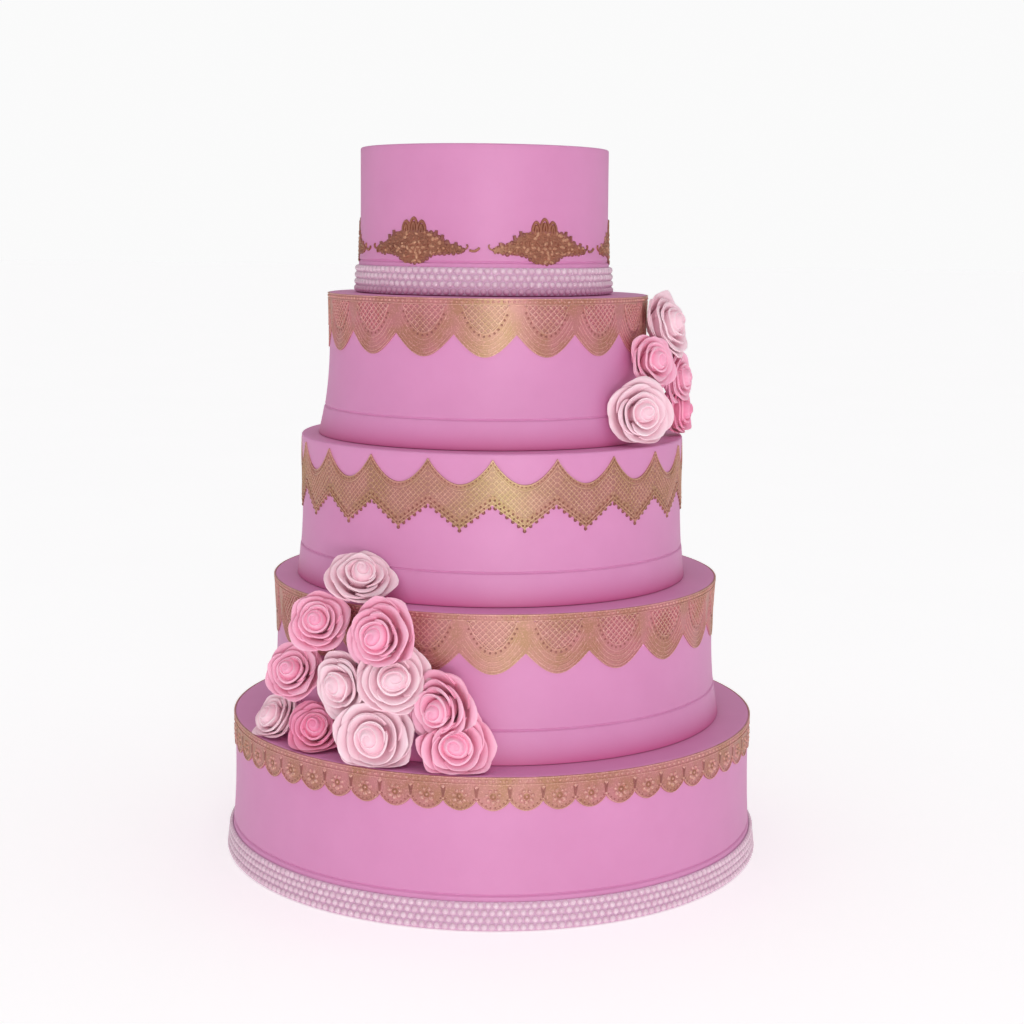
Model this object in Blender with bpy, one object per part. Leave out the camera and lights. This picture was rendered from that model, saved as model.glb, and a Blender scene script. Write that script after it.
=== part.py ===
"""Floral cake: five round iced tiers with gold lace, pearl trims and two clusters of roses.

Metres, +Z up. The origin is the centre of the bottom tier's underside, and the cake's front faces -Y.
Azimuths are in degrees from the front, growing towards +X.
"""

import math
from collections import namedtuple

import bpy
from mathutils import Matrix, Vector

# Clearance between pieces that touch.
GAP = 0.0003

# Tiers, from the bottom one up. flare is how far the foot spreads past the rim, waist how far the side
# draws in half way up, shift how far the tier stands off the centre, along X, and seam how high up its
# seam is.
Tier = namedtuple("Tier", "radius height flare waist shift seam segments")
TIERS = (
    Tier(radius=0.2000, height=0.1078, flare=0.0045, waist=0.0004, shift=0.0000, seam=0.0240, segments=56),
    Tier(radius=0.1696, height=0.1063, flare=0.0050, waist=0.0016, shift=0.0011, seam=0.0240, segments=60),
    Tier(radius=0.1456, height=0.1075, flare=0.0035, waist=0.0010, shift=-0.0022, seam=0.0240, segments=54),
    Tier(radius=0.1205, height=0.1063, flare=0.0080, waist=0.0010, shift=-0.0064, seam=0.0212, segments=48),
    Tier(radius=0.0931, height=0.1070, flare=0.0022, waist=0.0000, shift=-0.0097, seam=0.0240, segments=42),
)
FLARE_POWER = 3
RIM_ROUND = 0.0012
SEAM_STEP = 0.0004

# Lace: thin bands laid on the tiers.
LACE_GAP = 0.0005
LACE_THICK = 0.0008
LACE_RIM_DROP = 0.0014

# Scalloped bands that hang from the rim: their drop at a scallop's middle and between two scallops.
Scallops = namedtuple("Scallops", "tier count drop valley middle steps")
SCALLOP_BANDS = (
    Scallops(tier=1, count=55, drop=0.0241, valley=0.0174, middle=0.0, steps=2),
    Scallops(tier=2, count=23, drop=0.0430, valley=0.0280, middle=-0.8, steps=4),
    Scallops(tier=4, count=17, drop=0.0415, valley=0.0255, middle=-0.9, steps=4),
)

# The pointed band: its peaks reach the rim, and its points hang half way between them.
POINTED_TIER = 3
POINTED_COUNT = 20
POINTED_STEPS = 4
PEAK_DROP = 0.0038
ARC_DROP = 0.0216
NOTCH_DROP = 0.0388
POINT_DROP = 0.0560

# Medallions near the foot of the top tier: (distance from the middle, height above, depth below), and
# how far their tails reach to the left and to the right.
MEDALLION_TIER = 5
MEDALLION_COUNT = 6
MEDALLION_AZIMUTH = -32.5
MEDALLION_HEIGHT = 0.0338
MEDALLION_OUTLINE = (
    (0.0000, 0.0218, 0.0125),
    (0.0050, 0.0212, 0.0125),
    (0.0095, 0.0195, 0.0123),
    (0.0108, 0.0128, 0.0118),
    (0.0165, 0.0116, 0.0054),
    (0.0215, 0.0084, 0.0050),
    (0.0290, 0.0046, 0.0046),
    (0.0350, 0.0028, 0.0038),
)
MEDALLION_TAILS = (0.0415, 0.0510)
TAIL_END = (0.0012, 0.0030)

# Pearl trims: rows of small beads on a strip at the foot of a tier.
PEARL_TIERS = (1, 5)
PEARL_ROWS = 4
PEARL_PITCH = 0.0049
PEARL_PROUD = 0.0020
STRIP_THICK = 0.0005
STRIP_LIFT = 0.0005

# Roses, each placed by the middle of its outline of petals: the tier whose side it leans on, its
# azimuth there, its distance from that side, its height above the tier's foot, its diameter, and the
# azimuth and elevation that it faces. front is how much it presses its neighbours back.
Rose = namedtuple("Rose", "tier azimuth out up size face_azimuth face_up spin front shade")
LEFT_ROSES = (
    Rose(3, -33.8, 0.0200, 0.0195, 0.052, 6, 50, 10, 1.00, "pale"),
    Rose(2, -41.0, 0.0205, 0.0950, 0.047, -12, 24, 40, 0.90, "medium"),
    Rose(2, -24.2, 0.0215, 0.0915, 0.056, -28, 8, 0, 1.20, "medium"),
    Rose(2, -49.6, 0.0215, 0.0550, 0.047, -22, 24, 25, 0.80, "medium"),
    Rose(2, -34.0, 0.0210, 0.0520, 0.054, -40, 0, 60, 1.00, "pale"),
    Rose(2, -21.5, 0.0215, 0.0620, 0.055, 2, 18, 30, 1.10, "pale"),
    Rose(2, -58.2, 0.0215, 0.0145, 0.046, -52, 32, 50, 0.85, "pale"),
    Rose(2, -43.0, 0.0185, 0.0165, 0.048, -14, 32, 15, 0.70, "deep"),
    Rose(2, -25.5, 0.0240, 0.0200, 0.060, -12, 8, 45, 1.15, "pale"),
    Rose(2, -11.4, 0.0200, 0.0430, 0.056, -34, 4, 5, 1.10, "medium"),
    Rose(2, -8.0, 0.0235, 0.0185, 0.057, 4, 8, 35, 0.95, "medium"),
)
RIGHT_ROSES = (
    Rose(4, 80.0, 0.0215, 0.0852, 0.054, 58, 20, 20, 0.90, "pale"),
    Rose(4, 62.0, 0.0180, 0.0597, 0.044, 40, 14, 0, 0.95, "medium"),
    Rose(4, 84.0, 0.0270, 0.0452, 0.046, 62, 6, 45, 0.95, "medium"),
    Rose(4, 51.2, 0.0210, 0.0234, 0.053, 22, 7, 30, 1.20, "pale"),
    Rose(4, 86.0, 0.0290, 0.0195, 0.048, 66, 8, 10, 0.80, "deep"),
)

# A rose's shape from its bud out to its rim and back to its stem: (radius, height) as shares of its
# outer radius. lobes is how far its petals stick out there, and turn how far they are turned, in petals.
Ring = namedtuple("Ring", "radius height lobes turn")
BUD_HOLLOW = 0.26
ROSE_RINGS = (
    Ring(0.13, 0.36, 0.00, 0.0),
    Ring(0.26, 0.12, 0.00, 0.0),
    Ring(0.42, 0.32, 0.05, 0.0),
    Ring(0.52, 0.05, 0.03, 0.0),
    Ring(0.72, 0.20, 0.06, 0.5),
    Ring(0.80, -0.06, 0.04, 0.5),
    Ring(1.00, 0.03, 0.05, 0.0),
    Ring(0.82, -0.22, 0.05, 0.0),
    Ring(0.34, -0.70, 0.00, 0.0),
)
STEM_END = -0.72
ROSE_PETALS = 5
STEPS_PER_PETAL = 3
# Petals bend away from what they press on over this distance.
PRESS_DEPTH = 0.0022
PRESS_ROUNDS = 4
PETAL_SPACE = 0.0006
# Of two neighbours the one with the larger front laps over the other: the plane between them leans by
# this slope for each unit of difference, up to a limit, about a line this far behind their rims.
LAP_SLOPE = 5.0
LAP_MOST = 0.5
LAP_DEPTH = 0.0090

# sRGB colours: name, (red, green, blue), roughness, metallic.
COLOURS = {
    "icing": ((226, 150, 198), 0.55, 0.0),
    "gold": ((176, 116, 98), 0.35, 0.9),
    "pearl": ((228, 190, 215), 0.25, 0.0),
    "pale": ((240, 192, 212), 0.60, 0.0),
    "medium": ((238, 155, 190), 0.60, 0.0),
    "deep": ((226, 118, 160), 0.60, 0.0),
}


def clear_scene():
    for old in list(bpy.data.objects):
        bpy.data.objects.remove(old)


def linear(channel):
    share = channel / 255
    return share / 12.92 if share <= 0.04045 else ((share + 0.055) / 1.055) ** 2.4


def make_materials():
    made = {}
    for name, (colour, roughness, metallic) in COLOURS.items():
        material = bpy.data.materials.new(name)
        material.use_nodes = True
        shader = material.node_tree.nodes["Principled BSDF"]
        shader.inputs["Base Color"].default_value = (*map(linear, colour), 1)
        shader.inputs["Roughness"].default_value = roughness
        shader.inputs["Metallic"].default_value = metallic
        made[name] = material
    return made


def add_object(name, points, faces, material, smooth_angle=35):
    mesh = bpy.data.meshes.new(name)
    mesh.from_pydata([tuple(point) for point in points], [], faces)
    mesh.validate()
    mesh.materials.append(material)
    mesh.shade_smooth()
    mesh.set_sharp_from_angle(angle=math.radians(smooth_angle))
    made = bpy.data.objects.new(name, mesh)
    bpy.context.scene.collection.objects.link(made)
    return made


def tier_of(number):
    return TIERS[number - 1]


def foot_of(number):
    """Height of a tier's underside: it rests on the tier below, with the gap between them."""
    below = TIERS[: number - 1]
    return sum(tier.height for tier in below) + (GAP if below else 0)


def top_of(number):
    return sum(tier.height for tier in TIERS[:number])


def side_radius(number, height):
    """Radius of a tier's side at a world height, without its seam."""
    tier = tier_of(number)
    share = (height - top_of(number - 1)) / tier.height
    share = min(1, max(0, share))
    return tier.radius + tier.flare * (1 - share) ** FLARE_POWER - 4 * tier.waist * share * (1 - share)


def around(number, radius, azimuth, height):
    """World point at this radius and azimuth (in radians) about a tier's own axis."""
    return Vector((tier_of(number).shift + radius * math.sin(azimuth), -radius * math.cos(azimuth), height))


def bridge(first, second, count):
    """Faces between two closed rings of points, the second ring inside or below the first."""
    faces = []
    for step in range(count):
        after = (step + 1) % count
        faces.append((first + step, first + after, second + after, second + step))
    return faces


def make_tier(number, material):
    tier = tier_of(number)
    foot = foot_of(number)
    top = top_of(number)
    seam = top_of(number - 1) + tier.seam
    middle = (seam + top) / 2
    # From the top's edge down the outer side to the foot.
    profile = [
        (tier.radius - RIM_ROUND, top),
        (tier.radius, top - RIM_ROUND),
        (side_radius(number, middle), middle),
        (side_radius(number, seam), seam),
        (side_radius(number, seam) + SEAM_STEP, seam - SEAM_STEP),
        (side_radius(number, (seam + foot) / 2) + SEAM_STEP, (seam + foot) / 2),
        (side_radius(number, foot), foot),
    ]
    count = tier.segments
    points = []
    for radius, height in profile:
        points += [around(number, radius, 2 * math.pi * step / count, height) for step in range(count)]
    faces = []
    for ring in range(len(profile) - 1):
        faces += bridge((ring + 1) * count, ring * count, count)
    points += [around(number, 0, 0, top), around(number, 0, 0, foot)]
    top_centre = len(points) - 2
    foot_centre = len(points) - 1
    last = (len(profile) - 1) * count
    for step in range(count):
        after = (step + 1) % count
        faces.append((step, after, top_centre))
        faces.append((last + after, last + step, foot_centre))
    return add_object(f"tier_{number}", points, faces, material)


def make_band(name, number, columns, material, closed=True):
    """A thin band on a tier's side. columns holds (azimuth, upper height, lower height) in order."""
    points = []
    for azimuth, upper, lower in columns:
        for height in (upper, lower):
            inner = side_radius(number, height) + LACE_GAP
            points.append(around(number, inner, azimuth, height))
            points.append(around(number, inner + LACE_THICK, azimuth, height))
    # Each column's points are: inner upper, outer upper, inner lower, outer lower.
    faces = []
    count = len(columns)
    for step in range(count if closed else count - 1):
        here = 4 * step
        there = 4 * ((step + 1) % count)
        faces.append((here + 1, here + 3, there + 3, there + 1))
        faces.append((here, there, there + 2, here + 2))
        faces.append((here, here + 1, there + 1, there))
        faces.append((here + 2, there + 2, there + 3, here + 3))
    if not closed:
        last = 4 * (count - 1)
        faces.append((0, 2, 3, 1))
        faces.append((last, last + 1, last + 3, last + 2))
    return add_object(name, points, faces, material)


def make_scallops(band, material):
    rim = top_of(band.tier) - LACE_RIM_DROP
    total = band.count * band.steps
    columns = []
    for step in range(total):
        across = 2 * (step % band.steps) / band.steps - 1
        deeper = math.cos(across * math.pi / 2)
        drop = band.valley + (band.drop - band.valley) * deeper
        azimuth = math.radians(band.middle) + math.pi * (2 * step / total - 1 / band.count)
        columns.append((azimuth, rim, top_of(band.tier) - drop))
    return make_band(f"lace_{band.tier}", band.tier, columns, material)


def make_pointed_lace(material):
    top = top_of(POINTED_TIER)
    total = POINTED_COUNT * POINTED_STEPS
    columns = []
    for step in range(total):
        across = 2 * (step % POINTED_STEPS) / POINTED_STEPS - 1
        upper = PEAK_DROP + (ARC_DROP - PEAK_DROP) * math.cos(across * math.pi / 2)
        lower = NOTCH_DROP + (POINT_DROP - NOTCH_DROP) * (1 - abs(across))
        columns.append((2 * math.pi * step / total, top - upper, top - lower))
    return make_band(f"lace_{POINTED_TIER}", POINTED_TIER, columns, material)


def make_medallion(index, material):
    middle = math.radians(MEDALLION_AZIMUTH + 360 * index / MEDALLION_COUNT)
    height = top_of(MEDALLION_TIER - 1) + MEDALLION_HEIGHT
    radius = side_radius(MEDALLION_TIER, height)
    left, right = ([*MEDALLION_OUTLINE, (tail, *TAIL_END)] for tail in MEDALLION_TAILS)
    whole = [(-along, above, below) for along, above, below in reversed(left[1:])] + right
    columns = [(middle + along / radius, height + above, height - below) for along, above, below in whole]
    return make_band(f"medallion_{index + 1}", MEDALLION_TIER, columns, material, closed=False)


def make_pearl_trim(number, material):
    foot = foot_of(number) + STRIP_LIFT
    top = foot + PEARL_ROWS * PEARL_PITCH
    # (height, distance out of the tier's side) down the outer face, one bump for each row of beads.
    profile = [(top, GAP), (top, GAP + STRIP_THICK)]
    for row in reversed(range(PEARL_ROWS)):
        profile.append((foot + (row + 0.5) * PEARL_PITCH, GAP + STRIP_THICK + PEARL_PROUD))
        profile.append((foot + row * PEARL_PITCH, GAP + STRIP_THICK))
    profile.append((foot, GAP))
    # The strip lies below the seam, where the side stands out by its step.
    count = tier_of(number).segments
    points = []
    for height, out in profile:
        radius = side_radius(number, height) + SEAM_STEP + out
        points += [around(number, radius, 2 * math.pi * step / count, height) for step in range(count)]
    faces = []
    for ring in range(len(profile)):
        below = (ring + 1) % len(profile)
        faces += bridge(below * count, ring * count, count)
    return add_object(f"pearl_trim_{number}", points, faces, material, smooth_angle=80)


def rose_middle(rose):
    height = top_of(rose.tier - 1) + rose.up
    radius = tier_of(rose.tier).radius + rose.out
    return around(rose.tier, radius, math.radians(rose.azimuth), height)


def rose_facing(rose):
    azimuth = math.radians(rose.face_azimuth)
    rise = math.radians(rose.face_up)
    return Vector((math.sin(azimuth) * math.cos(rise), -math.cos(azimuth) * math.cos(rise), math.sin(rise)))


def rose_frame(rose):
    """Matrix from a rose's own frame, whose +Z is where it faces, to the world."""
    turn = rose_facing(rose).to_track_quat("Z", "Y").to_matrix().to_4x4()
    return Matrix.Translation(rose_middle(rose)) @ turn @ Matrix.Rotation(math.radians(rose.spin), 4, "Z")


def press(past):
    """How far a point may stay past a limit, for one that would reach this far past it: never beyond."""
    if past < -PRESS_DEPTH:
        return past
    return -PRESS_DEPTH * math.exp(-(past + PRESS_DEPTH) / PRESS_DEPTH)


def parting_plane(rose, other):
    """A point of the plane between two roses, and its normal out of the first one."""
    here = rose_middle(rose)
    apart = rose_middle(other) - here
    away = apart.normalized()
    reach = rose.size * rose.front
    share = reach / (reach + other.size * other.front)
    facing = rose_facing(rose) + rose_facing(other)
    facing = (facing - away * (facing @ away)).normalized()
    lap = max(-LAP_MOST, min(LAP_MOST, LAP_SLOPE * (rose.front - other.front)))
    return here + apart * share - facing * LAP_DEPTH, (away - facing * lap).normalized()


def press_on_neighbours(point, rose, others):
    """Keeps a rose's point on its own side of the planes between it and its neighbours."""
    for other in others:
        middle, away = parting_plane(rose, other)
        past = (point - middle) @ away + PETAL_SPACE / 2
        point = point + away * (press(past) - past)
    return point


def press_on_tiers(point, rose):
    """Keeps a rose's point outside the side it leans on and above the top that it stands on."""
    ledge = top_of(rose.tier - 1) + PETAL_SPACE
    past = ledge - point.z
    point = Vector((point.x, point.y, ledge - press(past)))
    side = side_radius(rose.tier, point.z) + LACE_GAP + LACE_THICK + PETAL_SPACE
    sideways = Vector((point.x - tier_of(rose.tier).shift, point.y, 0))
    past = side - sideways.length
    moved = sideways.normalized() * (side - press(past))
    return Vector((moved.x + tier_of(rose.tier).shift, moved.y, point.z))


def make_rose(name, rose, cluster, material):
    count = ROSE_PETALS * STEPS_PER_PETAL
    outer = rose.size / 2
    points = []
    for ring in ROSE_RINGS:
        for step in range(count):
            within = (step + ring.turn * STEPS_PER_PETAL) % STEPS_PER_PETAL - (STEPS_PER_PETAL - 1) / 2
            radius = outer * ring.radius * (1 + ring.lobes * within)
            angle = 2 * math.pi * step / count
            points.append((radius * math.cos(angle), radius * math.sin(angle), outer * ring.height))
    points += [(0, 0, outer * BUD_HOLLOW), (0, 0, outer * STEM_END)]
    faces = []
    for ring in range(len(ROSE_RINGS) - 1):
        faces += bridge((ring + 1) * count, ring * count, count)
    bud = len(points) - 2
    stem = len(points) - 1
    last = (len(ROSE_RINGS) - 1) * count
    for step in range(count):
        after = (step + 1) % count
        faces.append((step, after, bud))
        faces.append((last + after, last + step, stem))
    frame = rose_frame(rose)
    others = [other for other in cluster if other is not rose]
    placed = []
    for point in points:
        world = frame @ Vector(point)
        for _ in range(PRESS_ROUNDS):
            world = press_on_neighbours(world, rose, others)
            world = press_on_tiers(world, rose)
        placed.append(world)
    return add_object(name, placed, faces, material, smooth_angle=50)


def make_cake():
    clear_scene()
    materials = make_materials()
    for number in range(1, len(TIERS) + 1):
        make_tier(number, materials["icing"])
    for band in SCALLOP_BANDS:
        make_scallops(band, materials["gold"])
    make_pointed_lace(materials["gold"])
    for index in range(MEDALLION_COUNT):
        make_medallion(index, materials["gold"])
    for number in PEARL_TIERS:
        make_pearl_trim(number, materials["pearl"])
    for side, cluster in (("left", LEFT_ROSES), ("right", RIGHT_ROSES)):
        for index, rose in enumerate(cluster):
            make_rose(f"rose_{side}_{index + 1:02d}", rose, cluster, materials[rose.shade])


make_cake()
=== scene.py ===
import random
from math import ceil, cos, dist, exp, pi, radians, sin

import bpy
from mathutils import Matrix, Vector, noise


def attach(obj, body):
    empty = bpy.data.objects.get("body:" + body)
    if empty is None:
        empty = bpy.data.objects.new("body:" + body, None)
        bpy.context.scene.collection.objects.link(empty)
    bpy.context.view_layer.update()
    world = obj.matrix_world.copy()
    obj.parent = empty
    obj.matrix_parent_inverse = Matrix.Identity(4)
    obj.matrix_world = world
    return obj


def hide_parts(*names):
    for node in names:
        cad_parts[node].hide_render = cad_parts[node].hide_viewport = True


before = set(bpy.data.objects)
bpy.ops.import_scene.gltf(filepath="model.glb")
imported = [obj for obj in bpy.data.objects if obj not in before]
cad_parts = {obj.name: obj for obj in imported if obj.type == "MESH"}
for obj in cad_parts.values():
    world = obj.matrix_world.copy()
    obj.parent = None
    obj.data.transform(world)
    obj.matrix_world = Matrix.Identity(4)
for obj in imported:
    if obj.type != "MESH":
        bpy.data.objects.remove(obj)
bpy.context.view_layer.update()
print("frame loaded")

# Metres, +Z up, the cake's front faces -Y. Azimuths are measured from the front towards +X.

cameraView = dict(
    place=(-0.0069, -1.3872, 0.4692),
    yaw=0.0148,  # radians, to the right
    pitch=-0.1501,
    roll=0.0111,
    lens=63.65,  # mm, on a sensor of this width
    sensor=36,
)

lighting = dict(
    horizon=0.30,  # brightness of the room level with the cake, and overhead
    overhead=0.86,
    backdrop=0.96,  # how bright the empty room looks
    floorGlow=0.337,  # what the floor adds to the light that falls on it
    keyPlace=(0.24, -1.9, 0.12),
    keySize=0.6,
    keyPower=12.4,
    aim=(0.0, 0.0, 0.27),
)


def facing(azimuth, rise=0.0):
    return Vector((sin(azimuth) * cos(rise), -cos(azimuth) * cos(rise), sin(rise)))


def addCamera():
    ahead = facing(pi - cameraView["yaw"], cameraView["pitch"])
    right = facing(pi / 2 - cameraView["yaw"])
    turned = Matrix((right, right.cross(ahead), -ahead)).transposed()
    turned = turned @ Matrix.Rotation(cameraView["roll"], 3, "Z")
    camera = bpy.data.objects.new("camera", bpy.data.cameras.new("camera"))
    camera.matrix_world = Matrix.Translation(cameraView["place"]) @ turned.to_4x4()
    camera.data.sensor_width = cameraView["sensor"]
    camera.data.lens = cameraView["lens"]
    bpy.context.scene.collection.objects.link(camera)
    bpy.context.scene.camera = camera


def addLamp(name, place, size, power):
    lamp = bpy.data.objects.new(name, bpy.data.lights.new(name, "AREA"))
    lamp.data.shape = "DISK"
    lamp.data.size = size
    lamp.data.energy = power
    lamp.location = place
    away = Vector(place) - Vector(lighting["aim"])
    lamp.rotation_euler = away.to_track_quat("Z", "Y").to_euler()
    bpy.context.scene.collection.objects.link(lamp)


addCamera()
addLamp("keyLamp", lighting["keyPlace"], lighting["keySize"], lighting["keyPower"])
print("camera and lamp placed")


class wire:
    # one output of a node, which sums can be written with

    def __init__(self, finish, socket):
        self.finish = finish
        self.socket = socket

    def maths(self, operation, *values):
        return self.finish.add("Math", {"operation": operation}, dict(enumerate(values)))["Value"]

    def __add__(self, other):
        return self.maths("ADD", self, other)

    def __sub__(self, other):
        return self.maths("SUBTRACT", self, other)

    def __rsub__(self, other):
        return self.maths("SUBTRACT", other, self)

    def __mul__(self, other):
        return self.maths("MULTIPLY", self, other)

    __radd__, __rmul__ = __add__, __mul__


def colourOf(colour):
    # a wire, a plain brightness or an sRGB colour of 0 to 255 as a socket wants it
    if isinstance(colour, wire):
        return colour
    if isinstance(colour, float):
        return (colour, colour, colour, 1)
    shares = [channel / 255 for channel in colour]
    return (*(s / 12.92 if s <= 0.04045 else ((s + 0.055) / 1.055) ** 2.4 for s in shares), 1)


class finishMaker:
    # builds one material, or the room round the cake, from nodes

    def __init__(self, name, owners=bpy.data.materials):
        self.material = owners.new(name)
        self.material.use_nodes = True
        self.tree = self.material.node_tree
        self.tree.nodes.clear()
        self.places = self.add("TexCoord")

    def add(self, kind, settings=None, values=None):
        node = self.tree.nodes.new("ShaderNode" + kind)
        for key, value in (settings or {}).items():
            setattr(node, key, value)
        for key, value in (values or {}).items():
            if isinstance(key, int):
                socket = node.inputs[key]
            else:
                socket = next(s for s in node.inputs if s.name == key and s.enabled)
            if isinstance(value, wire):
                self.tree.links.new(value.socket, socket)
            else:
                socket.default_value = value
        return {s.name: wire(self, s) for s in node.outputs if s.enabled}

    def grain(self, scale, detail, rough=0.5):
        return self.add("TexNoise", None, {
            "Vector": self.places["Object"], "Scale": scale, "Detail": detail, "Roughness": rough,
        })["Fac"]

    def spread(self, value, low, high):
        # value's range from low to high, stretched to 0 to 1
        return self.add(
            "MapRange", {"clamp": True}, {"Value": value, "From Min": low, "From Max": high}
        )["Result"]

    def blend(self, share, first, second):
        return self.add("Mix", {"data_type": "RGBA"}, {
            "Factor": share, "A": colourOf(first), "B": colourOf(second),
        })["Result"]

    def shade(self):
        # the painted shade, or on petals the share from painted shade to painted highlight, that
        # meshParts keeps for each point
        return self.add("Attribute", {"attribute_name": "shade"})["Fac"]

    def bump(self, height, distance):
        return self.add("Bump", None, {"Height": height, "Distance": distance, "Strength": 1.0})["Normal"]

    def coat(self, values):
        # the shader itself, and the finished material
        shader = self.add("BsdfPrincipled", None, values)["BSDF"]
        self.add("OutputMaterial", None, {"Surface": shader})
        return self.material


def addWorld():
    room = finishMaker("room", bpy.data.worlds)
    height = room.add("SeparateXYZ", None, {0: room.places["Generated"]})["Z"]
    given = room.blend(room.spread(height, 0, 1), lighting["horizon"], lighting["overhead"])
    colour = room.blend(room.add("LightPath")["Is Camera Ray"], given, lighting["backdrop"])
    glow = room.add("Background", None, {"Color": colour, "Strength": 1.0})
    room.add("OutputWorld", None, {"Surface": glow["Background"]})
    bpy.context.scene.world = room.material
    bpy.context.scene.view_settings.view_transform = "Standard"


addWorld()


icingLook = dict(
    main=(221, 145, 193),
    second=(215, 138, 186),
    low=(206, 94, 150),  # painted shade, close to the ledge it stands on
    roughness=0.52,
    blotches=14,  # per metre
    skin=900,
    skinDepth=0.00006,
)


def makeIcing():
    finish = finishMaker("icing")
    blotch = finish.spread(finish.grain(icingLook["blotches"], 5, 0.6), 0.3, 0.7)
    skin = finish.grain(icingLook["skin"], 3, 0.6)
    colour = finish.blend(blotch, icingLook["main"], icingLook["second"])
    return finish.coat({
        # the shade attribute blends in the painted shade near a tier's foot and on the ledge beside the
        # next tier
        "Base Color": finish.blend(finish.shade(), colour, icingLook["low"]),
        "Roughness": icingLook["roughness"] + 0.1 * (skin - 0.5),
        "Normal": finish.bump(skin, icingLook["skinDepth"]),
        "Subsurface Weight": 0.08,
        "Subsurface Radius": (1.0, 0.5, 0.6),
        "Subsurface Scale": 0.003,
    })


# the main, the worn and the dark colour of each lace's plate, of its raised threads and beads
# (Pale, a lighter copy that paints the highlight they catch), of its eyelets (Dark, a darker copy that
# paints the shade in their holes) and of what lies behind its net (Net)
goldLooks = dict(
    gold=((184, 100, 116), (208, 136, 138), (166, 96, 88)),
    goldPale=((206, 134, 136), (236, 184, 172), (188, 126, 110)),
    goldDark=((140, 64, 74), (160, 84, 90), (122, 56, 62)),
    goldNet=((176, 92, 114), (190, 110, 126), (162, 84, 98)),
    roseGold=((193, 96, 129), (216, 134, 150), (172, 88, 94)),
    roseGoldPale=((216, 132, 150), (244, 184, 186), (196, 122, 122)),
    roseGoldDark=((144, 60, 78), (164, 82, 96), (126, 54, 66)),
    roseGoldNet=((190, 94, 130), (204, 112, 142), (174, 86, 110)),
    bronze=((150, 82, 70), (174, 106, 88), (132, 68, 62)),
    bronzePale=((190, 130, 108), (216, 166, 142), (172, 110, 90)),
)
goldFeel = dict(
    roughness=0.42,
    metal=0.15,
    gleam=(0.56, 0.94, 0.3, 1),
    darkGleam=(0.8, 0.7, 0.4, 1),
    darkLooks=("goldDark", "roseGoldDark", "bronze", "bronzePale"),
    bend=1.75,
    clouds=40,  # per metre
    grit=900,
    gritDepth=0.0001,
)


def makeGold(name):
    finish = finishMaker(name)
    main, worn, dark = goldLooks[name]
    cloud = finish.spread(finish.grain(goldFeel["clouds"], 3, 0.55), 0.38, 0.62)
    grit = finish.grain(goldFeel["grit"], 4, 0.6)
    return finish.coat({
        "Base Color": finish.blend(finish.spread(grit, 0.5, 0.7), finish.blend(cloud, dark, main), worn),
        "Metallic": goldFeel["metal"],
        "Roughness": goldFeel["roughness"] + 0.25 * (grit - 0.5),
        "IOR": goldFeel["bend"],
        "Specular IOR Level": 1.0,
        "Specular Tint": goldFeel["darkGleam" if name in goldFeel["darkLooks"] else "gleam"],
        "Normal": finish.bump(grit, goldFeel["gritDepth"]),
    })


pearlLook = dict(
    pearl=((236, 208, 222), (224, 186, 206)),
    pearlPaintedShade=((220, 168, 196), (210, 154, 184)),  # a darker copy for the lowest row: painted shade close to the ledge
    strip=((220, 180, 206), (210, 166, 196)),
    roughness=0.2,
    clouds=220,  # per metre
    weave=1500,
    weaveDepth=0.0001,
)


def makePearl(name):
    finish = finishMaker(name)
    cloud = finish.spread(finish.grain(pearlLook["clouds"], 3), 0.35, 0.65)
    return finish.coat({
        "Base Color": finish.blend(cloud, *pearlLook[name]),
        "Roughness": pearlLook["roughness"] + 0.1 * cloud,
        "Coat Weight": 0.5,
        "Coat Roughness": 0.1,
        "Specular IOR Level": 0.6,
    })


def makeStrip():
    finish = finishMaker("pearlStrip")
    weave = finish.grain(pearlLook["weave"], 2)
    return finish.coat({
        "Base Color": finish.blend(weave, *pearlLook["strip"]),
        "Roughness": 0.5,
        "Normal": finish.bump(weave, pearlLook["weaveDepth"]),
    })


# edge, middle and depth of a petal in each shade. The petal's own colour runs from a deeper foot to a
# paler edge; the depth colour also paints the shade deep in the rose, and the edge colour a highlight on
# the rolled rims
petalLooks = dict(
    pale=((255, 232, 239), (255, 217, 229), (254, 201, 218)),
    medium=((255, 206, 225), (254, 184, 211), (251, 156, 192)),
    deep=((254, 182, 207), (250, 159, 194), (242, 124, 168)),
)
petalFeel = dict(
    clouds=90,  # per metre
    fine=1400,
    fineDepth=0.00008,
    sheenTint=(1, 0.86, 0.91, 1),
)


def makePetal(shade):
    edge, middle, depth = petalLooks[shade]
    finish = finishMaker("petal" + shade.capitalize())
    fine = finish.grain(petalFeel["fine"], 3, 0.6)
    # the shade attribute runs from the foot to the edge: painted shade deep in the rose, painted
    # highlight at the rim, mixed with random clouds of tone
    outward = finish.shade() + 0.3 * (finish.grain(petalFeel["clouds"], 3) - 0.5)
    colour = finish.blend(finish.spread(outward, 0.26, 0.8), depth, middle)
    return finish.coat({
        "Base Color": finish.blend(finish.spread(outward, 0.84, 1.0), colour, edge),
        "Roughness": 0.62 + 0.1 * (fine - 0.5),
        "Sheen Weight": 0.3,
        "Sheen Roughness": 0.5,
        "Sheen Tint": petalFeel["sheenTint"],
        "Normal": finish.bump(fine, petalFeel["fineDepth"]),
        "Subsurface Weight": 0.12,
        "Subsurface Radius": (1.0, 0.8, 0.85),
        "Subsurface Scale": 0.0015,
    })


finishes = dict(icing=makeIcing(), strip=makeStrip())
finishes.update({name: makePearl(name) for name in ("pearl", "pearlPaintedShade")})
finishes.update({shade: makePetal(shade) for shade in petalLooks})
finishes.update({name: makeGold(name) for name in goldLooks})
print("finishes made")


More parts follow.
